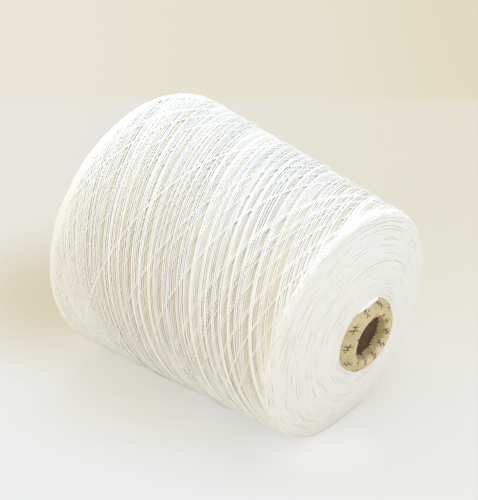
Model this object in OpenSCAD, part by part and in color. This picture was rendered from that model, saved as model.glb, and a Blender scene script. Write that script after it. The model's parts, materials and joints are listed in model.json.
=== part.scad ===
// Cone of cross-wound cotton thread, lying on its side.
// A tapered paper cone with a rounded, turned-in nose carries one thick, slightly
// conical package of thread. +X points to the nose, +Z is up, and the package
// rests on z = 0 along one side, where the soft winding is pressed flat.

/* [Cone] */
// Length of the paper cone from base edge to nose tip
cone_length = 170; // [166:1:178]
// Outside diameter of the cone at its base
cone_base_d = 67.5; // [65:0.5:71]
// Half angle of the cone and of the package, in degrees (4 degrees 20 minutes)
taper = 4.333; // [3.6:0.001:4.6]
// Thickness of the printed outer ply
cover_t = 0.4; // [0.25:0.05:0.6]
// Thickness of the glued board plies
board_t = 1.5; // [1.1:0.1:1.9]
// Thickness of the raw inner ply
liner_t = 0.4; // [0.25:0.05:0.6]
// Outside radius of the wide round that draws the nose in
nose_r = 8.3; // [7:0.1:9.5]
// Angle through which the wide round turns before the lip, in degrees
nose_turn = 71; // [62:1:78]
// Inside radius of the tight fold at the lip of the opening
fold_r = 0.3; // [0.2:0.05:0.5]
// Length of wall turned back into the bore behind the lip
tuck_length = 4.4; // [2.5:0.1:7]
// Slit left between two plies or between the cone and the thread
ply_gap = 0.02; // [0.01:0.01:0.1]

/* [Package] */
// Diameter over the winding at the base end
package_d = 150; // [130:1:170]
// Length of the winding between its two shoulders
traverse = 150; // [140:1:156]
// Length of bare cone behind the winding
base_show = 6; // [3:0.5:9]
// Length of bare cone in front of the winding
nose_show = 4.7; // [4:0.1:8]
// Radius of the shoulder at the base end
base_shoulder_r = 11; // [7:0.5:14]
// Radius of the shoulder at the nose end
nose_shoulder_r = 4; // [2:0.5:6]
// Bulge of the base end face
base_bulge = 1.5; // [0.5:0.25:3]
// Depth to which the resting side of the winding is pressed flat
flat_depth = 0.8; // [0.5:0.1:1.2]

/* [Winding] */
// Number of out-and-back courses in the last layer
course_count = 6; // [4:1:8]
// Laps that the whole layer makes before its pattern closes
laps = 13; // [10:1:16]
// Strands that lie side by side in one course
strand_count = 3; // [2:1:4]
// Width of one laid strand
strand_w = 1.2; // [1:0.1:1.4]
// Height of one laid strand
strand_t = 0.9; // [0.7:0.1:1.1]
// Share of a stroke in which the thread turns back at each end
turn_share = 0.1; // [0.06:0.01:0.14]

/* [Hidden] */

paper_brown = [0.33, 0.24, 0.17];
board_grey = [0.55, 0.47, 0.36];
kraft = [0.80, 0.72, 0.52];
thread_white = [0.93, 0.93, 0.90];
course_white = [0.98, 0.97, 0.93];

$fn = 96;
round_steps = 8;
lip_steps = 9;

// Distances s run along the cone's axis from the base end of the winding.
base_s = -base_show;
tip_s = base_s + cone_length;
slope = tan(taper);
winding_end_s = tip_s - nose_show;

// Radius of the cone's outer surface, of the winding under its last layer,
// and of the plane that the package rests on, each measured square to the axis.
function cone_r(s) = cone_base_d / 2 - (s - base_s) * slope;
function winding_r(s) = package_d / 2 - 2 * strand_t - s * slope;
function rest_r(s) = winding_r(s) - flat_depth;

// Points are [radius, s]. The wall leans along its own line and turns in at the
// nose on two arcs, a wide round and then a tight lip, whose centres these are.
wall_along = [-sin(taper), cos(taper)];
wall_outward = [cos(taper), sin(taper)];
function leaning(turn) = cos(turn) * wall_outward + sin(turn) * wall_along;
lip_r = cover_t + board_t + fold_r;
round_start_s = tip_s - lip_r + nose_r * sin(taper) - (nose_r - lip_r) * sin(nose_turn + taper);
round_centre = [cone_r(round_start_s), round_start_s] - nose_r * wall_outward;
lip_centre = round_centre + (nose_r - lip_r) * leaning(nose_turn);

// Place of the axis in the resting frame. The base edge is the rearmost point
// and the crown of the lip the foremost, and the origin lies midway.
axis_z = rest_r(0) * cos(taper);
rear_x = base_s * cos(taper) - cone_base_d / 2 * sin(taper);
front_x = lip_centre[1] * cos(taper) + lip_centre[0] * sin(taper) + lip_r;
axis_x = -(rear_x + front_x) / 2;

// Lays a shape that stands on the axis along +Z down into the resting frame.
// The shape's own +X side becomes its underside.
module lay_down() {
    translate([axis_x, 0, axis_z]) rotate([0, 90 + taper, 0]) children();
}

// ---------------------------------------------------------------- paper cone

// Both faces of one ply are drawn at a depth below the cone's outer surface.
function base_point(depth) = [cone_base_d / 2 - depth / cos(taper), base_s];
function round_point(depth, turn) = round_centre + (nose_r - depth) * leaning(turn);
function lip_point(depth, turn) = lip_centre + (lip_r - depth) * leaning(turn);
function nose_arcs(depth) = concat(
    [for (i = [0 : round_steps]) round_point(depth, nose_turn * i / round_steps)],
    [for (i = [1 : lip_steps]) lip_point(depth, nose_turn + (180 - nose_turn) * i / lip_steps)]);
function tuck_point(depth) = lip_point(depth, 180) - tuck_length * wall_along;
function reversed(list) = [for (i = [len(list) - 1 : -1 : 0]) list[i]];

// A ply that runs up the wall, in over the nose and back into the bore
module turned_ply(outer_depth, inner_depth) {
    rotate_extrude() polygon(concat(
        [base_point(outer_depth)],
        nose_arcs(outer_depth),
        [tuck_point(outer_depth), tuck_point(inner_depth)],
        reversed(nose_arcs(inner_depth)),
        [base_point(inner_depth)]));
}

// The printed ply is the one that shows at the base, at the nose and in the tuck.
module cone_cover() {
    color(kraft) lay_down() turned_ply(0, cover_t);
}

module cone_board() {
    color(board_grey) lay_down() turned_ply(cover_t + ply_gap, cover_t + board_t);
}

// The raw ply lines the bore and stops where the wall starts to turn in.
module cone_liner() {
    outer_depth = cover_t + board_t + ply_gap;
    inner_depth = outer_depth + liner_t;
    color(paper_brown) lay_down() rotate_extrude() polygon([
        base_point(outer_depth),
        round_point(outer_depth, 0),
        round_point(inner_depth, 0),
        base_point(inner_depth)]);
}

// ------------------------------------------------------------ thread package

// Half profile of the winding: a crowned base face, a wide base shoulder, the
// straight side, a tight nose shoulder and a dome that climbs to the round of
// the cone's nose, whose outside the winding's own bore follows.
function shoulder_arc(centre, radius, from, to) =
    [for (turn = [from : (to - from) / 8 : to + 0.01]) centre + radius * [cos(turn), sin(turn)]];

base_shoulder_s = base_shoulder_r * (1 - sin(taper));
base_shoulder = [winding_r(base_shoulder_s) - base_shoulder_r * cos(taper), base_shoulder_r];
nose_shoulder_s = traverse - nose_shoulder_r * (1 - sin(taper));
nose_shoulder = [winding_r(nose_shoulder_s) - nose_shoulder_r * cos(taper),
                 traverse - nose_shoulder_r];
base_bore_r = cone_r(0) + ply_gap / cos(taper);
hug_turn = max(0, asin((winding_end_s - round_centre[1]) / (nose_r + ply_gap)) - taper);
nose_bore = [for (share = [1 : -0.25 : 0]) round_point(-ply_gap, share * hug_turn)];
dome_rise = nose_bore[0][1] - traverse;

function base_face(share) =
    [base_bore_r + share * (base_shoulder[0] - base_bore_r), -base_bulge * sin(180 * share)];
function nose_dome(share) =
    [nose_bore[0][0] + share * (nose_shoulder[0] - nose_bore[0][0]),
     traverse + dome_rise * cos(90 * share)];

module winding_profile() {
    polygon(concat(
        [for (share = [0 : 0.125 : 0.9]) base_face(share)],
        shoulder_arc(base_shoulder, base_shoulder_r, -90, taper),
        shoulder_arc(nose_shoulder, nose_shoulder_r, taper, 90),
        [for (share = [0.875 : -0.125 : 0.1]) nose_dome(share)],
        nose_bore));
}

// The side that the package rests on is pressed flat down to z = 0.
module thread_package() {
    color(thread_white) difference() {
        lay_down() rotate_extrude() winding_profile();
        translate([0, 0, -package_d / 2]) cube([2 * cone_length, package_d, package_d], center = true);
    }
}

// --------------------------------------------------- last layer of the winding

// A course runs out to the nose end on one hand of helix and back on the other.
// Its angle only grows, and its place along the axis swings between two turns.
course_w = strand_count * strand_w;
stroke_angle = laps * 180 / course_count;
crossing_angle = 180 / course_count;
first_s = base_shoulder_r + course_w / 2;
last_s = traverse - nose_shoulder_r - course_w / 2;
stroke_slope = (last_s - first_s) / (1 - turn_share);

function eased(share) =
    share < turn_share ? share * share / (2 * turn_share)
    : share > 1 - turn_share ? 1 - turn_share - (1 - share) * (1 - share) / (2 * turn_share)
    : share - turn_share / 2;
function eased_rate(share) = max(0, min(1, share / turn_share, (1 - share) / turn_share));
function course_s(share) = first_s + stroke_slope * eased(share);

// Half lengths, in degrees, of the lift over a crossed course and of its ramp
middle_r = winding_r(traverse / 2);
pitch_angle = atan2(stroke_slope, middle_r * stroke_angle * PI / 180);
narrow_r = winding_r(last_s);
lift_length = course_w * (1 + cos(2 * pitch_angle)) / (2 * sin(2 * pitch_angle));
lift_angle = lift_length / narrow_r * 180 / PI;
ramp_angle = min(3.5 * strand_t / narrow_r * 180 / PI, (crossing_angle / 2 - lift_angle) * 0.8);
ground_angle = lift_angle + ramp_angle;

// Straight stretches between rings clear the round winding by this factor.
longest_half_step = max(lift_angle, crossing_angle / 2 - ground_angle);
chord = cos(longest_half_step + 0.6);

// Angle that the slanted edge of a course runs ahead of its middle, and the angle
// from the underside within which the courses are pressed flush
edge_angle = asin(course_w * sin(pitch_angle) / (2 * narrow_r));
flush_angle = acos(rest_r(last_s) / (narrow_r / chord + 0.2 * strand_t)) + edge_angle;

function from_underside(angle) = abs(angle - 360 * round(angle / 360));
function press(angle, s) =
    let (nearest = max(0, min(from_underside(angle), 45) - edge_angle),
         room = rest_r(s) / cos(nearest) - winding_r(s) / chord)
    max(0.08, min(1, room / (2.1 * strand_t)));

// How far a return course is lifted by the outward courses that it crosses
function lift(share) =
    let (turn = share * stroke_angle, lap = round(turn / crossing_angle),
         away = abs(turn - lap * crossing_angle))
    lap < 1 || lap > laps - 1 ? 0
    : strand_t * max(0, min(1, (ground_angle - away) / ramp_angle));

// Section of a course: flat below, one rounded ridge for each strand above
course_section = concat(
    [[-course_w / 2, 0], [-course_w / 2, 0.5 * strand_t]],
    [for (i = [0 : 2 * strand_count - 2])
        [-course_w / 2 + (i + 1) * strand_w / 2, (i % 2 == 0 ? 1 : 0.55) * strand_t]],
    [[course_w / 2, 0.5 * strand_t], [course_w / 2, 0]]);

// One ring of points across a course. Hand is 1 on the way out, -1 on the way back.
function course_ring(angle, share, hand, raised) =
    let (s = course_s(share), squeeze = press(angle, s),
         outward = [cos(angle), sin(angle), 0],
         around = [-sin(angle), cos(angle), 0],
         side = [-outward[0] * sin(taper), -outward[1] * sin(taper), cos(taper)],
         normal = [outward[0] * cos(taper), outward[1] * cos(taper), sin(taper)],
         climb = hand * eased_rate(share) * pitch_angle,
         across = cos(climb) * side - sin(climb) * around,
         seat = winding_r(s) / chord * outward + [0, 0, s])
    [for (p = course_section)
        seat + p[0] * across + squeeze * (raised + p[1]) * normal];

// Angles of the rings over a whole stroke: four for each crossing
stroke_rings = concat([0], [for (lap = [0 : laps], step = [-ground_angle, -lift_angle,
    lift_angle, ground_angle]) let (turn = lap * crossing_angle + step)
    if (turn > 1 && turn < stroke_angle - 1) turn], [stroke_angle]);

// Stretches of a stroke between two passes over the pressed underside
function free_runs(start) = [for (pass = [-1 : ceil((start + stroke_angle) / 360)])
    let (from = max(0, 360 * pass + flush_angle - start),
         to = min(stroke_angle, 360 * (pass + 1) - flush_angle - start))
    if (to - from > ramp_angle) [from, to]];
function run_rings(start, run) = concat([run[0]],
    [for (turn = stroke_rings) if (turn > run[0] + 1 && turn < run[1] - 1) turn], [run[1]]);

module swept(rings) {
    n = len(rings[0]);
    last = len(rings) - 1;
    polyhedron(
        points = [for (ring = rings) each ring],
        faces = concat(
            [[for (i = [0 : n - 1]) i]],
            [for (k = [0 : last - 1], i = [0 : n - 1]) let (j = (i + 1) % n)
                each [[k * n + i, (k + 1) * n + i, k * n + j],
                      [k * n + j, (k + 1) * n + i, (k + 1) * n + j]]],
            [[for (i = [n - 1 : -1 : 0]) last * n + i]]));
}

// All strokes of one hand. The way back starts where the way out has ended.
module strokes(hand) {
    for (course = [0 : course_count - 1]) {
        start = course * 360 / course_count + (hand > 0 ? 0 : stroke_angle);
        for (run = free_runs(start))
            swept([for (turn = run_rings(start, run))
                let (share = turn / stroke_angle, along = hand > 0 ? share : 1 - share)
                course_ring(start + turn, along, hand, hand > 0 ? 0 : lift(along))]);
    }
}

module outward_courses() {
    color(thread_white) lay_down() strokes(1);
}

module return_courses() {
    color(course_white) lay_down() strokes(-1);
}

cone_liner();
cone_board();
cone_cover();
thread_package();
outward_courses();
return_courses();
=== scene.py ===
import json
from math import atan2, ceil, cos, hypot, pi, radians, sin, tau

import bmesh
import bpy
import numpy as np
from mathutils import Matrix, Vector


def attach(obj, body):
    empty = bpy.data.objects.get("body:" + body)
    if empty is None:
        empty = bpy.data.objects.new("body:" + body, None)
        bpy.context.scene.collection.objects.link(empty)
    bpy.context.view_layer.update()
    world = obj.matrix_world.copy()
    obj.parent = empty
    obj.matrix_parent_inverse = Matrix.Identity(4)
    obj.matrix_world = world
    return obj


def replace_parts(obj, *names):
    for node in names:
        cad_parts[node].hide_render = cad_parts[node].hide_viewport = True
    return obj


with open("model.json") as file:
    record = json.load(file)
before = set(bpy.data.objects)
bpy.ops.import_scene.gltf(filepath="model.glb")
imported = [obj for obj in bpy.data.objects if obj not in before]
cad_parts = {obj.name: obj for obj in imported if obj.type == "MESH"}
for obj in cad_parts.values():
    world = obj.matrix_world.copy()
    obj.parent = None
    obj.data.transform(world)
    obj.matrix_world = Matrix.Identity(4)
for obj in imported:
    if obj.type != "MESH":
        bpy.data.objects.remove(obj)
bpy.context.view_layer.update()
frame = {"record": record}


# ---------------------------------------------------------------- raw inner ply
# The innermost ply of the cone is plain brown paper, glued to the board behind it.
# It shows only as the dark wall of the bore, with its fibres along the cone.

class Signal:
    """A shader socket on which plain arithmetic adds Math nodes."""

    def __init__(self, tree, socket=None):
        self.tree = tree
        self.socket = socket

    def node(self, kind, inputs=None, output=0, **settings):
        """Adds a node. Its settings come first, then the values or links of its sockets."""
        made = self.tree.nodes.new(kind)
        for name, value in settings.items():
            setattr(made, name, value)
        for key, value in (inputs or {}).items():
            if isinstance(value, Signal):
                self.tree.links.new(value.socket, made.inputs[key])
            else:
                made.inputs[key].default_value = value
        return Signal(self.tree, made.outputs[output])

    def math(self, operation, *others):
        operands = dict(enumerate((self,) + others))
        return self.node("ShaderNodeMath", operands, operation=operation)

    def __add__(self, other):
        return self.math("ADD", other)

    def __sub__(self, other):
        return self.math("SUBTRACT", other)

    def __rsub__(self, other):
        return self.node("ShaderNodeMath", {0: other, 1: self}, operation="SUBTRACT")

    def __mul__(self, other):
        return self.math("MULTIPLY", other)

    __radd__ = __add__
    __rmul__ = __mul__

    def smooth(self, low, high):
        """0 at low, 1 at high, and a soft step between them."""
        inputs = {"Value": self, "From Min": low, "From Max": high}
        return self.node("ShaderNodeMapRange", inputs, interpolation_type="SMOOTHSTEP")

    def noise(self, scale, detail):
        return self.node("ShaderNodeTexNoise", {"Vector": self, "Scale": scale, "Detail": detail})

    def axes(self):
        """The three parts of a vector."""
        parts = self.node("ShaderNodeSeparateXYZ", {"Vector": self}).socket.node
        return [Signal(self.tree, socket) for socket in parts.outputs]


def rgb(red, green, blue):
    """A colour as it is seen, 0 to 255 a channel, in the shader's linear values."""
    return tuple(((c / 255 + 0.055) / 1.055) ** 2.4 for c in (red, green, blue)) + (1.0,)


def mix(amount, under, over):
    """One colour laid over another, by the colour sockets of a Mix node."""
    return amount.node("ShaderNodeMix", {0: amount, 6: under, 7: over}, output=2, data_type="RGBA")


def new_finish(name):
    """An empty node material: the material, a starting signal and its shader."""
    material = bpy.data.materials.new(name)
    material.use_nodes = True
    return material, Signal(material.node_tree), material.node_tree.nodes["Principled BSDF"]


def dress(shader, colour, height, bump_depth, roughness):
    """Feeds a finish's colour and bump to its shader, and sets how matte it is."""
    bump = height.node("ShaderNodeBump", {"Height": height, "Distance": bump_depth})
    colour.tree.links.new(colour.socket, shader.inputs["Base Color"])
    colour.tree.links.new(bump.socket, shader.inputs["Normal"])
    shader.inputs["Roughness"].default_value = roughness
    shader.inputs["Specular IOR Level"].default_value = faint_shine


def along_cone(signal):
    """Object coordinates turned so that Z runs up the cone from its base centre."""
    place = signal.node("ShaderNodeTexCoord", output="Object")
    return signal.node("ShaderNodeMapping", {
        "Vector": place, "Location": base_centre, "Rotation": (0.0, pi / 2 + taper, 0.0)},
        vector_type="TEXTURE")


def refinish(node, material):
    """Gives a piece that keeps its solid shape a finish of its own."""
    slots = bpy.data.objects[node].data.materials
    slots.clear()
    slots.append(material)


MM = 0.001
bore = next(mount for mount in frame["record"]["mounts"] if mount["name"] == "cone_bore")
base_centre = Vector(bore["pos_m"])
taper = np.arcsin(bore["axis"][2])
faint_shine = 0.25
paper_bump = 0.2 * MM
paper_roughness = 0.9
brown = rgb(200, 174, 148)
light_brown = rgb(232, 210, 186)
fibre_squeeze = 0.18


def raw_paper():
    """Brown paper with long fibres up the cone, and soft clouds."""
    material, signal, shader = new_finish("raw_brown_paper")
    place = along_cone(signal)
    drawn_out = signal.node("ShaderNodeMapping", {"Vector": place, "Scale": (1.0, 1.0, fibre_squeeze)})
    fibre = drawn_out.noise(900.0, 5.0)
    tone = (fibre * 0.7 + place.noise(60.0, 3.0) * 0.3).smooth(0.32, 0.68)
    dress(shader, mix(tone, brown, light_brown), fibre, paper_bump, paper_roughness)
    return material


refinish("cone_liner", raw_paper())


# ---------------------------------------------------------------- board plies
# Several plies of grey board are rolled up with glue to make the cone's wall. They
# show only as fine lines round its square-cut base edge.

cone_slope = float(np.tan(taper))
ply_pitch = 0.5 * MM
glue_line = rgb(118, 100, 78)
board_grey = rgb(168, 150, 122)


def layered_board():
    """Specked grey board, with a darker line where each ply meets the next."""
    material, signal, shader = new_finish("layered_board")
    place = along_cone(signal)
    x, y, z = place.axes()
    depth = (x * x + y * y).math("SQRT") + z * cone_slope
    plies = (depth * (tau / ply_pitch)).math("SINE") * 0.5 + 0.5
    speck = place.noise(1400.0, 4.0)
    colour = mix(plies * 0.6 + speck * 0.4, glue_line, board_grey)
    dress(shader, colour, plies * 0.5 + speck, paper_bump, paper_roughness)
    return material


refinish("cone_board", layered_board())


# ---------------------------------------------------------------- printed ply
# A printed kraft sheet is the outermost ply. With the board it is drawn in at the
# nose over a wide round, folded there over a tight lip, and tucked into the bore.

cone_base_r = 33.75 * MM
cone_length = 170 * MM
nose_round = 8.3 * MM
nose_turn = radians(71)
lip_round = 2.2 * MM
tuck = 4.4 * MM
cover_t = 0.4 * MM
lay_turn = Matrix.Rotation(pi / 2 + taper, 4, "Y")
lay_down = Matrix.Translation(base_centre) @ lay_turn


def cone_r(height):
    """Outside radius of the cone at a height above its base."""
    return cone_base_r - height * cone_slope


def sheet_outline():
    """Radius and height of the sheet's outside, from the base edge into the tuck."""
    inner_round = nose_round - lip_round
    start = (cone_length - lip_round + nose_round * sin(taper)
             - inner_round * sin(nose_turn + taper))
    outward = Vector((cos(taper), sin(taper)))
    onward = Vector((-sin(taper), cos(taper)))
    wide = Vector((cone_r(start), start)) - nose_round * outward
    lip = wide + inner_round * (cos(nose_turn) * outward + sin(nose_turn) * onward)
    outline = [Vector((cone_r(height), height)) for height in np.linspace(0.0, start, 60)[:-1]]
    for angle in np.linspace(0.0, nose_turn, 24)[:-1]:
        outline.append(wide + nose_round * (cos(angle) * outward + sin(angle) * onward))
    for angle in np.linspace(nose_turn, pi, 20):
        outline.append(lip + lip_round * (cos(angle) * outward + sin(angle) * onward))
    for depth in np.linspace(0.0, tuck, 14)[1:]:
        outline.append(lip - lip_round * outward - float(depth) * onward)
    return outline


def spun(outline, steps):
    """An outline spun round the cone's axis, with turns and length in a UV map."""
    bm = bmesh.new()
    length = bm.verts.layers.float.new("length")
    last = None
    run = 0.0
    for point in outline:
        vert = bm.verts.new((point[0], 0.0, point[1]))
        if last is not None:
            run += (vert.co - last.co).length
            bm.edges.new((last, vert))
        vert[length] = run
        last = vert
    bmesh.ops.spin(bm, geom=bm.verts[:] + bm.edges[:], cent=(0, 0, 0), axis=(0, 0, 1),
                   angle=tau, steps=steps, use_merge=True)
    bmesh.ops.recalc_face_normals(bm, faces=bm.faces[:])
    uv = bm.loops.layers.uv.new("UVMap")
    for face in bm.faces:
        middle = face.calc_center_median()
        centre = atan2(middle.y, middle.x)
        for loop in face.loops:
            turn = atan2(loop.vert.co.y, loop.vert.co.x) - centre
            turn = centre + (turn + pi) % tau - pi
            loop[uv].uv = (turn / tau, loop.vert[length])
        face.smooth = True
    return bm


def placed(name, bm, material):
    """Lays a shape that stands on the cone's base centre down on the table."""
    bmesh.ops.transform(bm, matrix=lay_down, verts=bm.verts[:])
    mesh = bpy.data.meshes.new(name)
    bm.to_mesh(mesh)
    bm.free()
    piece = bpy.data.objects.new(name, mesh)
    bpy.context.collection.objects.link(piece)
    mesh.materials.append(material)
    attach(piece, "root")
    return piece


kraft = rgb(202, 183, 140)
light_kraft = rgb(230, 215, 175)
# painted light: lighter kraft for the drawn-in round, lip and tuck, standing in for the light that falls
# there
painted_lit_kraft = rgb(238, 216, 166)
light_painted_lit_kraft = rgb(254, 238, 196)
# painted shade: a darker brown laid in the hollows of the pleats
painted_pleat_shade = rgb(160, 122, 80)
ink_brown = rgb(100, 66, 48)
sprigs_round = 11.0
sprig_start = 0.8 * MM
# the sprigs' sizes are in millimetres: their cell round the nose and along the sheet,
# half a stroke's width, half a stem's length, and each twig's place and half length
sprig_cell = (10.0, 6.6)
stroke_core, stroke_edge = 0.16, 0.56
stem_core, stem_edge = 2.5, 3.0
twigs = ((-0.9, 2.3), (1.1, 1.8))
twig_fade = 0.4
twig_lean = 0.5
pleats_round = 60
pleat_start, pleat_full = 170.5 * MM, 177.5 * MM
kraft_bump = 0.3 * MM


def printed_kraft():
    """Kraft paper with brown sprigs, each a long stroke crossed by two short ones,
    and with pleats where the sheet is drawn in. There it is painted lighter, as painted
    light on the round, lip and tuck, and the pleats' hollows get painted shade."""
    material, signal, shader = new_finish("printed_kraft")
    place = signal.node("ShaderNodeTexCoord", output="Object")
    turns, length = signal.node("ShaderNodeUVMap", uv_map="UVMap").axes()[:2]
    along = (length - sprig_start) * (1 / (sprig_cell[1] * MM))
    row = along.math("FLOOR")
    across = turns * sprigs_round + row.math("MODULO", 2.0) * 0.5
    number = signal.node("ShaderNodeCombineXYZ", {
        0: across.math("FLOOR").math("MODULO", sprigs_round), 1: row})
    luck = signal.node("ShaderNodeTexWhiteNoise", {"Vector": number}, noise_dimensions="2D")
    x = (across.math("FRACT") - 0.5) * sprig_cell[0]
    y = (along.math("FRACT") - 0.5) * sprig_cell[1]
    cosine = (luck * tau).math("COSINE")
    sine = (luck * tau).math("SINE")
    stem = x * cosine + y * sine
    side = y * cosine - x * sine
    ink = (side.math("ABSOLUTE").smooth(stroke_edge, stroke_core)
           * stem.math("ABSOLUTE").smooth(stem_edge, stem_core))
    for at, reach in twigs:
        twig = (stem - at + side * twig_lean).math("ABSOLUTE").smooth(stroke_edge, stroke_core)
        ink = ink.math("MAXIMUM", twig * side.math("ABSOLUTE").smooth(reach, reach - twig_fade))
    ink = ink * place.noise(700.0, 3.0).smooth(0.30, 0.48)
    fibre = place.noise(1500.0, 5.0)
    tone = (fibre * 0.5 + place.noise(110.0, 3.0) * 0.5).smooth(0.35, 0.65)
    pleat = (turns * (pleats_round * tau) + place.noise(180.0, 2.0) * 20.0).math("SINE") * 0.5 + 0.5
    drawn_in = length.smooth(pleat_start, pleat_full)
    # painted light: the paper turns to the lighter kraft where the sheet is drawn in
    paper = mix(drawn_in, mix(tone, kraft, light_kraft), mix(tone, painted_lit_kraft, light_painted_lit_kraft))
    # painted shade: the pleats' hollows are darkened where the sheet is drawn in
    paper = mix((1.0 - pleat).math("POWER", 3.0) * drawn_in * 0.28, paper, painted_pleat_shade)
    colour = mix(ink * 0.9, paper, ink_brown)
    dress(shader, colour, fibre * 0.5 + pleat * drawn_in, kraft_bump, 0.72)
    return material


sheet_steps = 200
gather_start = 171 * MM
gather_run = 6 * MM
gather_depth = 0.16 * MM
sheet_shape = spun(sheet_outline(), sheet_steps)
length_of = sheet_shape.verts.layers.float["length"]
for vert in sheet_shape.verts:
    drawn_in = min(max((vert[length_of] - gather_start) / gather_run, 0.0), 1.0)
    turn = atan2(vert.co.y, vert.co.x)
    fold = sin(23 * turn + 2.0 * sin(5 * turn)) + 0.7 * sin(9 * turn + 1.5 * sin(4 * turn))
    shrink = 1 - gather_depth * drawn_in * (1.7 + fold) / hypot(vert.co.x, vert.co.y)
    vert.co.x, vert.co.y = vert.co.x * shrink, vert.co.y * shrink
sheet = placed("cone_sheet", sheet_shape, printed_kraft())
sheet_wall = sheet.modifiers.new("paper", "SOLIDIFY")
sheet_wall.thickness = cover_t
sheet_wall.offset = -1.0
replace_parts(sheet, "cone_cover")


# ---------------------------------------------------------------- buried winding
# Nearly all of the package is buried cotton thread, wound on the turning cone into
# a firm body with round shoulders and a domed nose end. Only slits of it show
# between the outer threads.

base_show = 6.0 * MM
nose_show = 4.7 * MM
package_base_r = 75.0 * MM
traverse = 150.0 * MM
base_shoulder = 11.0 * MM
nose_shoulder = 4.0 * MM
base_bulge = 1.5 * MM
outline_step = 0.5 * MM


def winding_outline():
    """Length along, radius and height of the finished winding, from the cone at its
    base end to the cone at its nose end, in even steps."""
    def side_r(height):
        return package_base_r - height * cone_slope

    top = cone_length - base_show - nose_show
    base_c = (side_r(base_shoulder) - base_shoulder * cos(taper), base_shoulder)
    nose_c = (side_r(traverse - nose_shoulder) - nose_shoulder * cos(taper),
              traverse - nose_shoulder)
    inner = cone_r(base_show)
    edge = cone_r(top + base_show)
    points = []
    for share in np.linspace(0.0, 1.0, 60)[:-1]:
        points.append((inner + share * (base_c[0] - inner), -base_bulge * sin(pi * share)))
    for (radius, height), shoulder, angles in (
            (base_c, base_shoulder, np.linspace(-pi / 2, taper, 40)),
            (nose_c, nose_shoulder, np.linspace(taper, pi / 2, 20))):
        for angle in angles:
            points.append((radius + shoulder * cos(angle), height + shoulder * sin(angle)))
    for share in np.linspace(1.0, 0.0, 60)[1:]:
        points.append((edge + share * (nose_c[0] - edge),
                       traverse + (top - traverse) * cos(share * pi / 2)))
    points = np.array(points)
    run = np.append(0.0, np.cumsum(np.hypot(*np.diff(points, axis=0).T)))
    even = np.arange(0.0, run[-1], outline_step)
    return even, np.interp(even, run, points[:, 0]), np.interp(even, run, points[:, 1] + base_show)


outline_run, outline_r, outline_z = winding_outline()
slope_r = np.gradient(outline_r, outline_run)
slope_z = np.gradient(outline_z, outline_run)
# painted shade: the buried thread is painted cream, darker than the white thread on top, for the shade in
# the slits where it shows
cream = rgb(235, 230, 213)
light_cream = rgb(243, 239, 226)
side_depth, face_depth = 0.95 * MM, 0.36 * MM
side_slope, face_slope = 0.15, 0.7
base_sunk, nose_sunk = 4 * MM, 1.5 * MM
core_steps = 180
core_clearance = 0.5 * MM


def buried_cotton():
    """Cotton painted cream, darker than the same thread on top, as painted shade for the slits between the
    outer threads; with a fine soft fuzz.
    """
    material, signal, shader = new_finish("buried_cotton")
    fuzz = along_cone(signal).noise(900.0, 3.0)
    dress(shader, mix(fuzz.smooth(0.35, 0.65), cream, light_cream), fuzz, 0.2 * MM, 0.9)
    return material


core_depth = np.interp(abs(slope_r), [side_slope, face_slope], [side_depth, face_depth])
core_outline = [Vector((cone_r(base_show + base_sunk), base_show + base_sunk))]
for radius, height, outward_r, outward_z, deep in zip(
        outline_r[4::4], outline_z[4::4], slope_z[4::4], -slope_r[4::4], core_depth[4::4]):
    core_outline.append(Vector((radius - deep * outward_r, height - deep * outward_z)))
core_outline.append(Vector((cone_r(outline_z[-1] - nose_sunk), outline_z[-1] - nose_sunk)))
core = placed("winding_core", spun(core_outline, core_steps), buried_cotton())
for vert in core.data.vertices:
    vert.co.z = max(vert.co.z, core_clearance)
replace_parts(core, "thread_package")


# ---------------------------------------------------------------- outer courses
# The outer layers of the same thread. A guide runs to and fro while the cone turns,
# and lays it in bundles of side-by-side strokes that cross those of the layer below
# and ride up on one another. A few strokes lie pressed in across them.

thread_d = 0.69 * MM
helix = radians(16.5)
bundles = 27
pitch = tau / bundles
stroke_step = 1.2 * MM
turn_back = 16 * MM
# how far past the two turning points a stroke may begin or end, in millimetres
base_reach = (-6.0, 5.0)
nose_reach = (-3.0, 2.5)
bridge_steps = 5
beside_loss = 0.3
sway_step = 50 * MM
sway_overrun = 60 * MM
stroke_sway = 0.0025
heave_knots = 12
heave = 0.22
base_turning = float(np.interp(base_show + 0.5 * base_shoulder, outline_z, outline_run))
nose_turning = float(np.interp(base_show + traverse - 0.4 * nose_shoulder, outline_z, outline_run))
midway = (base_turning + nose_turning) / 2
# the tread map holds how high the thread lies, along and round the winding
rows = len(outline_run)
columns = 960
tread = np.zeros((rows, columns))
chance = np.random.default_rng(7)


def cell(run, turn):
    """The row and column of the tread map under each point."""
    row = np.clip(np.rint(run / outline_step).astype(int), 1, rows - 2)
    return row, np.rint(turn / tau * columns).astype(int) % columns


def evened(heights, width):
    """The running mean of so many heights."""
    return np.convolve(np.pad(heights, width // 2, mode="edge"), np.ones(width) / width, mode="valid")


def lay(run, turn, pressed, lift, sag):
    """Lays one stroke of thread on what is there, and says how high it rides. It is
    taut, so it bridges narrow hollows, and raises the tread by what is pressed on."""
    row, column = cell(run, turn)
    near = [(0, 0), (1, 0), (-1, 0), (0, 1), (0, -1)]
    under = np.mean([tread[row + a, (column + b) % columns] for a, b in near], axis=0)
    taut = under.copy()
    for reach in range(1, bridge_steps + 1):
        drop = sag * reach * reach
        taut[reach:] = np.maximum(taut[reach:], under[:-reach] - drop)
        taut[:-reach] = np.maximum(taut[:-reach], under[reach:] - drop)
    ride = evened(taut, 3) + lift
    for a, b in near:
        side = pressed * (1.0 - beside_loss * (abs(a) + abs(b)))
        np.maximum.at(tread, (row + a, (column + b) % columns), ride + side)
    return evened(ride, 7) + pressed / 2


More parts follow.
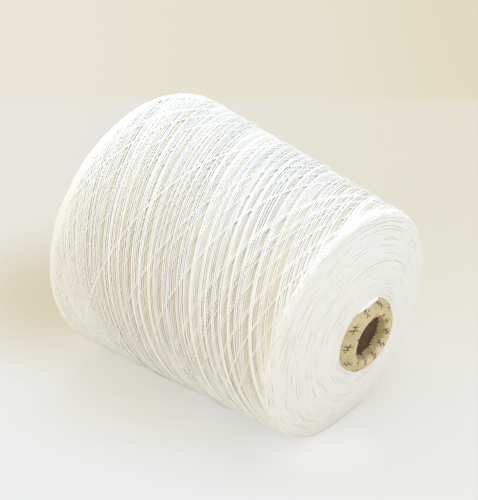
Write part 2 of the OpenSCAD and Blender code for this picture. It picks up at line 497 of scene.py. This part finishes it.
def stroke(start, outward, wander):
    """One run of the guide from end to end, eased where it turns back."""
    low = base_turning + chance.uniform(*base_reach) * MM
    high = nose_turning + chance.uniform(*nose_reach) * MM
    length = (high - low) / sin(helix) + turn_back / 2
    travel = np.arange(0.0, length, stroke_step)
    ease = np.clip(np.minimum(travel, length - travel) / (turn_back / 2), 0.0, 1.0)
    climb = np.sin(helix * ease) * stroke_step
    run = np.cumsum(climb) * (high - low) / climb.sum()
    run = low + run if outward else high - run
    around = np.cumsum(np.cos(helix * ease) * stroke_step / np.interp(run, outline_run, outline_r))
    halfway = int(np.argmin(abs(run - midway)))
    knots = np.arange(0.0, length + sway_overrun, sway_step)
    sway = wander[:len(knots)] + chance.normal(scale=stroke_sway, size=len(knots))
    return run, start + around - around[halfway] + np.interp(travel, knots, sway)


# each bundle has its own shift, its own slow sway and its own height
bundle_shift = radians(1.5) * chance.normal(size=bundles)
bundle_sway = 0.013 * chance.normal(size=(bundles, 16))
bundle_height = chance.uniform(0.4, 1.3, size=bundles)


def lay_family(outward, place, pressed, lift=0.0, share=1.0, loose=0.25, offsets=bundle_shift,
               tone=1.0, sag=0.12 * MM):
    """Lays one stroke of one hand at the same place in each bundle, or in a share of
    the bundles. Each comes back with how high it rides and its lightest tone, a cap on
    the height that its painted shade follows."""
    laid = []
    for bundle in chance.permutation(bundles):
        if chance.random() > share:
            continue
        start = pitch * (bundle + place) + offsets[bundle] + radians(loose) * chance.normal()
        run, turn = stroke(start, outward, bundle_sway[bundle])
        heaved = np.interp(np.arange(len(run)), np.linspace(0, len(run), heave_knots),
                           chance.normal(scale=heave, size=heave_knots))
        height = lay(run, turn, pressed, lift * (bundle_height[bundle] + heaved), sag)
        laid.append((run, turn, height, tone))
    return laid


full_press = 0.22 * MM
half_press = 0.1 * MM
light_press = 0.05 * MM
# the strokes of a bundle ride higher across it, in millimetres, and each later set of
# crossing strokes has its place in the pitch, its share of the bundles and its tone,
# a cap that paints those threads cream as painted shade along them
ridge_steps = (0.1, 0.35, 0.6, 0.85, 1.05, 1.2)
crossing_sets = ((0.0, 0.5, -0.7), (0.18, 0.4, -0.45), (0.36, 0.35, -0.6), (0.54, 0.2, -0.45))
returning = []
for sixth in range(6):
    returning += lay_family(False, sixth / 6, full_press)
outgoing = []
for sixth, rise in enumerate(ridge_steps):
    outgoing += lay_family(True, sixth / 6, full_press, rise * MM, loose=0.12)
scattered = pitch * chance.uniform(-0.5, 0.5, size=bundles)
crossing = []
for place, share, tone in crossing_sets:
    crossing += lay_family(False, place, light_press, -0.1 * MM, share, 0.12, scattered, tone * MM,
                           sag=0.4 * MM)
outgoing += lay_family(True, 0.83, half_press, share=0.35)


def general_level(spread):
    """The smooth general height of the tread map, without its single threads."""
    reach = int(3 * spread / outline_step)
    bell = np.exp(-0.5 * (np.arange(-reach, reach + 1) * outline_step / spread) ** 2)
    bell /= bell.sum()
    tall = np.pad(tread, ((reach, reach), (0, 0)), mode="edge")
    smooth = sum(weight * tall[n:n + rows] for n, weight in enumerate(bell))
    wide = np.pad(smooth, ((0, 0), (reach, reach)), mode="wrap")
    return sum(weight * wide[:, n:n + columns] for n, weight in enumerate(bell))


def laid_down(radius, turn, up):
    """Points round the cone's axis, laid down with the cone and kept above the table."""
    points = np.stack([radius * np.cos(turn), radius * np.sin(turn), up], axis=1)
    points = points @ np.array(lay_turn.to_3x3()).T + np.array(base_centre)
    points[:, 2] = np.maximum(points[:, 2], thread_d / 2)
    return points


def on_winding(run, turn, proud):
    """Points that stand proud of the winding's surface by the given height."""
    radius = np.interp(run, outline_run, outline_r) + proud * np.interp(run, outline_run, slope_z)
    up = np.interp(run, outline_run, outline_z) - proud * np.interp(run, outline_run, slope_r)
    return laid_down(radius, turn, up)


def from_ends(run, base_steps, nose_steps):
    """The smaller of two values, stepped inwards from the two turning points."""
    return np.minimum(np.interp(run - base_turning, *base_steps),
                      np.interp(nose_turning - run, *nose_steps))


level = general_level(5 * MM)
sunk = 0.3 * thread_d
# each pair of lists gives distances from a turning point, and the values there
relief_steps = (([0.0, 25 * MM, 60 * MM], [0.2, 0.5, 0.8]),
                ([0.0, 10 * MM, 35 * MM], [0.2, 0.55, 0.8]))
shade_steps = (([0.0, 45 * MM], [0.35, 0.85]), ([0.0, 10 * MM], [0.5, 0.85]))
# painted shade: how far the shade height drops near the nose end, which paints the threads there creamier
nose_painted_shade = ([0.0, 8 * MM, 35 * MM], [0.0, 0.3 * MM, 0.0])


def proud_lines(laid):
    """The laid strokes as lines of points, flatter towards the winding's two ends,
    each with the height that its painted shade follows; near the nose end that height
    is lowered, so the threads there are painted creamier as painted shade."""
    lines = []
    for run, turn, height, tone in laid:
        rise = height - level[cell(run, turn)]
        proud = from_ends(run, *relief_steps) * rise - sunk
        nose_shade_drop = np.interp(nose_turning - run, *nose_painted_shade)
        # painted shade: lower threads, the crossing sets' caps and the nose end's drop all paint the thread
        # cream
        shade = np.minimum(from_ends(run, *shade_steps) * rise - sunk - nose_shade_drop, tone)
        lines.append((on_winding(run, turn, proud)[::2], shade[::2]))
    return lines


def thread_piece(name, lines, material):
    """Tubes of thread along the given lines, drawn to a point at their ends. Each
    point keeps its shade height, its run of thread and its thread's own tint."""
    curve = bpy.data.curves.new(name, "CURVE")
    curve.dimensions = "3D"
    curve.bevel_depth = thread_d / 2
    curve.bevel_resolution = 1
    for points, shade in lines:
        spline = curve.splines.new("POLY")
        spline.points.add(len(points) - 1)
        row = np.ones((len(points), 4), np.float32)
        row[:, :3] = points
        spline.points.foreach_set("co", row.ravel())
        spline.points[0].radius = spline.points[-1].radius = 0.0
    holder = bpy.data.objects.new(name, curve)
    bpy.context.collection.objects.link(holder)
    bpy.context.view_layer.update()
    graph = bpy.context.evaluated_depsgraph_get()
    mesh = bpy.data.meshes.new_from_object(holder.evaluated_get(graph), depsgraph=graph)
    bpy.data.objects.remove(holder)
    mesh.name = name
    gaps = [np.append(0.0, np.linalg.norm(np.diff(points, axis=0), axis=1)) for points, shade in lines]
    tints = [np.full(len(points), chance.random()) for points, shade in lines]
    sides = len(mesh.vertices) // sum(len(points) for points, shade in lines)
    for key, values in (("proud", np.concatenate([shade for points, shade in lines])),
                        ("run", np.cumsum(np.concatenate(gaps))),
                        ("tint", np.concatenate(tints))):
        kept = np.repeat(values, sides).astype(np.float32)
        mesh.attributes.new(key, "FLOAT", "POINT").data.foreach_set("value", kept)
    piece = bpy.data.objects.new(name, mesh)
    bpy.context.collection.objects.link(piece)
    mesh.materials.clear()
    mesh.materials.append(material)
    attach(piece, "root")
    return piece


def thread_pieces(name, lines, most):
    """The given lines as pieces of thread, each of no more lines than most."""
    return [thread_piece(f"{name}_{number}", lines[start:start + most], cotton_finish)
            for number, start in enumerate(range(0, len(lines), most), 1)]


# painted shade: the cream that the lower threads take down in the creases
crease_painted_shade = rgb(232, 224, 203)
light_crease_painted_shade = rgb(239, 233, 216)
white = rgb(250, 249, 246)
bright_white = rgb(254, 254, 252)
crease_height, crest_height = -0.95 * MM, -0.3 * MM
ply_twist = 2.2 * MM


def white_cotton():
    """White at the crests and cream down in the creases, the cream a painted shade for
    the creases' shade, with a slight tint to each thread and the turns of its plies as fine bumps."""
    material, signal, shader = new_finish("white_cotton")
    place = signal.node("ShaderNodeTexCoord", output="Object")
    proud, run, tint = [signal.node("ShaderNodeAttribute", attribute_name=name, output="Fac")
                        for name in ("proud", "run", "tint")]
    round_it = signal.node("ShaderNodeUVMap", uv_map="UVMap").axes()[1]
    plies = ((run * (1 / ply_twist) + round_it * 2.0) * tau).math("SINE")
    fuzz = place.noise(2600.0, 3.0)
    deep = mix(place.noise(45.0, 2.0), crease_painted_shade, light_crease_painted_shade)
    top = mix(tint * 0.5 + fuzz * 0.5, white, bright_white)
    # painted shade: threads that lie lower are painted cream
    colour = mix(proud.smooth(crease_height, crest_height), deep, top)
    dress(shader, colour, plies * 0.5 + fuzz, 0.02 * MM, 0.85)
    shader.inputs["Sheen Weight"].default_value = 0.15
    return material


strokes_apiece = 60
cotton_finish = white_cotton()
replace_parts(thread_pieces("return_threads", proud_lines(returning), strokes_apiece)[0], "return_courses")
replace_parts(thread_pieces("outward_threads", proud_lines(outgoing), strokes_apiece)[0], "outward_courses")
thread_pieces("crossing_threads", proud_lines(crossing), strokes_apiece)


# ---------------------------------------------------------------- end faces
# Each buried course turned back at an end of the winding, so both end faces are
# thousands of short arcs of thread, side by side. They lie smooth, held only by the
# laps above them.

arc_pitch = 0.36 * MM
lap_per_arc = 26 * MM
arc_step = 4 * MM
# an arc's reach to each side, its drift over that and its height are in millimetres
arc_reach = (14, 28)
arc_drift = 0.9
arc_height = (-0.25, -0.19)
arc_dive = 0.25 * MM
arc_tone = 0.1 * MM
base_face_start = 0.6 * MM
base_shoulder_lap = 4 * MM
nose_shoulder_lap = 2 * MM
arcs_apiece = 900


def end_arcs(run_from, run_to):
    """The turning points of buried courses, as arcs over one end of the winding."""
    arcs = []
    for run in np.arange(run_from, run_to, arc_pitch):
        radius = float(np.interp(run, outline_run, outline_r))
        for number in range(ceil(tau * radius / lap_per_arc)):
            reach = chance.uniform(*arc_reach) * MM / radius
            share = np.linspace(-1.0, 1.0, 2 * ceil(reach * radius / arc_step) + 1)
            turn = chance.uniform(0, tau) + reach * share
            drift = chance.uniform(-arc_drift, arc_drift) * MM * share
            dive = -arc_dive * share ** 4
            proud = chance.uniform(*arc_height) * MM + dive
            arcs.append((on_winding(run + drift, turn, proud), dive + arc_tone))
    return arcs


thread_pieces("base_end_arcs", end_arcs(base_face_start, base_turning + base_shoulder_lap), arcs_apiece)
thread_pieces("nose_end_arcs", end_arcs(nose_turning - nose_shoulder_lap, outline_run[-1]), arcs_apiece)


# ---------------------------------------------------------------- nose collar
# The innermost laps at the nose end ride up unevenly on the round of the cone, as
# a low ragged collar of thread. Only their own tension holds them.

# each set of laps has its middle and half reach in degrees round the cone, and its
# rise up the cone in millimetres
collar_sets = ((342, 46, 2.8), (186, 30, 2.2), (40, 40, 0.9), (120, 60, 0.5))
collar_start = -1.3
collar_points = 25
lap_rise = 0.3
lap_scatter = 6
lap_waver = 0.05


def collar_arcs():
    """Laps that bend up the sheet's side in their middle, and rest on it."""
    sheet_side = np.array([(point[0], point[1]) for point in sheet_outline()])
    length = np.append(0.0, np.cumsum(np.linalg.norm(np.diff(sheet_side, axis=0), axis=1)))
    tip = int(np.argmax(sheet_side[:, 1]))
    edge = float(np.interp(outline_z[-1], sheet_side[:tip, 1], length[:tip]))
    arcs = []
    for middle, reach, rise in collar_sets:
        for lap in np.arange(0.0, 1.01, lap_rise / (rise + 1)):
            share = np.linspace(-1.0, 1.0, collar_points)
            centre = radians(middle + chance.uniform(-lap_scatter, lap_scatter))
            turn = centre + radians(reach) * (0.6 + 0.4 * lap) * share
            waver = np.interp(share, share[::4], chance.normal(size=len(share[::4])))
            bend = 1 - abs(share) ** 2.5 + lap_waver * waver
            on = edge + ((rise + 0.8) * lap * bend + collar_start) * MM
            radius, up = [np.interp(on, length, sheet_side[:, axis]) for axis in (0, 1)]
            ahead_r, ahead_up = [np.interp(on + 0.1 * MM, length, sheet_side[:, axis]) for axis in (0, 1)]
            lean = np.arctan2(ahead_r - radius, ahead_up - up)
            radius, up = radius + 0.4 * thread_d * np.cos(lean), up - 0.4 * thread_d * np.sin(lean)
            arcs.append((laid_down(radius, turn, up), np.zeros(len(share))))
    return arcs


thread_pieces("nose_collar", collar_arcs(), arcs_apiece)


# ---------------------------------------------------------------- table
# A plain pale table top for the package to lie on, white near it and cream beyond a
# soft line far behind it. It isn't part of the object.

view_turn = radians(40.92)
# each soft patch, two of painted shadow and one of painted light, has its middle and
# half size to the side and away, strength and tone
painted_shadow_and_light_patches = (
    ((-0.115, 0.082), (0.08, 0.1), 0.85, rgb(213, 203, 172)),
    ((-0.065, -0.025), (0.07, 0.07), 0.16, rgb(226, 216, 188)),
    ((0.035, -0.068), (0.045, 0.03), 0.6, rgb(250, 250, 250)))


def table_top():
    """Pale paint that turns from white to cream, with two soft patches of painted shadow
    to the left of the package and one of painted light in front of it.
    Part of it is shown as it is, without the light's own fall-off."""
    material, signal, shader = new_finish("table_top")
    place = signal.node("ShaderNodeTexCoord", output="Object")
    turned = signal.node("ShaderNodeMapping", {"Vector": place, "Rotation": (0.0, 0.0, -view_turn)})
    side, away = turned.axes()[:2]
    front = mix(side.smooth(0.0, 0.12), rgb(236, 237, 236), rgb(234, 233, 230))
    back = mix(side.smooth(-0.17, 0.17), rgb(228, 226, 219), rgb(226, 222, 206))
    near = mix(away.smooth(-0.12, 0.2), front, back)
    for middle, size, strength, tone in painted_shadow_and_light_patches:
        across = (side - middle[0]) * (1 / size[0])
        along = (away - middle[1]) * (1 / size[1])
        painted_patch = (across * across + along * along).math("SQRT").smooth(1.0, 0.1)
        # painted shadow and painted light laid over the table's pale paint
        near = mix(painted_patch * strength, near, tone)
    far = mix(side.smooth(-0.17, 0.0), rgb(229, 225, 212), rgb(227, 222, 203))
    far = mix(side.smooth(0.04, 0.18), far, rgb(222, 215, 190))
    colour = mix(away.smooth(0.335, 0.36), near, far)
    grain = place.noise(300.0, 2.0)
    dress(shader, mix(grain * 0.1 + 0.05, colour, rgb(205, 186, 150)), grain, 0.02 * MM, 0.6)
    shown = signal.node("ShaderNodeEmission", {"Color": colour})
    camera_ray = signal.node("ShaderNodeLightPath", output="Is Camera Ray")
    blend = signal.node("ShaderNodeMixShader", {
        0: camera_ray * 0.72, 1: Signal(signal.tree, shader.outputs["BSDF"]), 2: shown})
    signal.tree.links.new(blend.socket, signal.tree.nodes["Material Output"].inputs["Surface"])
    return material


bm = bmesh.new()
bmesh.ops.create_grid(bm, x_segments=1, y_segments=1, size=3.0)
table_mesh = bpy.data.meshes.new("table")
bm.to_mesh(table_mesh)
bm.free()
table = bpy.data.objects.new("table", table_mesh)
bpy.context.collection.objects.link(table)
table_mesh.materials.append(table_top())


# ---------------------------------------------------------------- light
# A pale room all round, warm on the left and cooler on the right, and one broad
# window overhead that lets in slightly blue daylight.

package_middle = Vector((-3.3, -1.2, 78.2)) * MM
view_rise = radians(30.76)
back = Vector((sin(view_turn) * cos(view_rise), -cos(view_turn) * cos(view_rise), sin(view_rise)))
right = Vector((cos(view_turn), sin(view_turn), 0.0))
over = back.cross(right)
warm_room = (1.08, 1.0, 0.775, 1.0)
cool_room = (0.915, 0.90, 0.86, 1.0)

world = bpy.context.scene.world or bpy.data.worlds.new("room")
bpy.context.scene.world = world
world.use_nodes = True
ray = Signal(world.node_tree).node("ShaderNodeTexCoord")
aside = ray.node("ShaderNodeVectorMath", {0: ray, 1: right}, output="Value", operation="DOT_PRODUCT")
room = mix(aside.smooth(-1.0, 1.0), warm_room, cool_room)
background = world.node_tree.nodes["Background"]
world.node_tree.links.new(room.socket, background.inputs["Color"])
background.inputs["Strength"].default_value = 0.905

window_light = bpy.data.lights.new("window", "AREA")
window_light.shape = "DISK"
window_light.size = 1.6
window_light.energy = 15.0
window_light.color = (0.46, 0.64, 1.0)
window_place = 0.15 * right + 1.4 * over + 0.6 * back
window = bpy.data.objects.new("window", window_light)
window.location = package_middle + window_place
window.rotation_euler = window_place.to_track_quat("Z", "Y").to_euler()
bpy.context.collection.objects.link(window)


# ---------------------------------------------------------------- camera
# It looks down on the nose end of the package, from the front and through a long
# lens, with the whole package in view.

camera_data = bpy.data.cameras.new("camera")
camera_data.sensor_width = 36.0
camera_data.lens = 122.4
camera = bpy.data.objects.new("camera", camera_data)
camera.location = package_middle + 0.9 * back
camera.rotation_euler = back.to_track_quat("Z", "Y").to_euler()
bpy.context.collection.objects.link(camera)
bpy.context.scene.camera = camera
bpy.context.scene.view_settings.view_transform = "Standard"
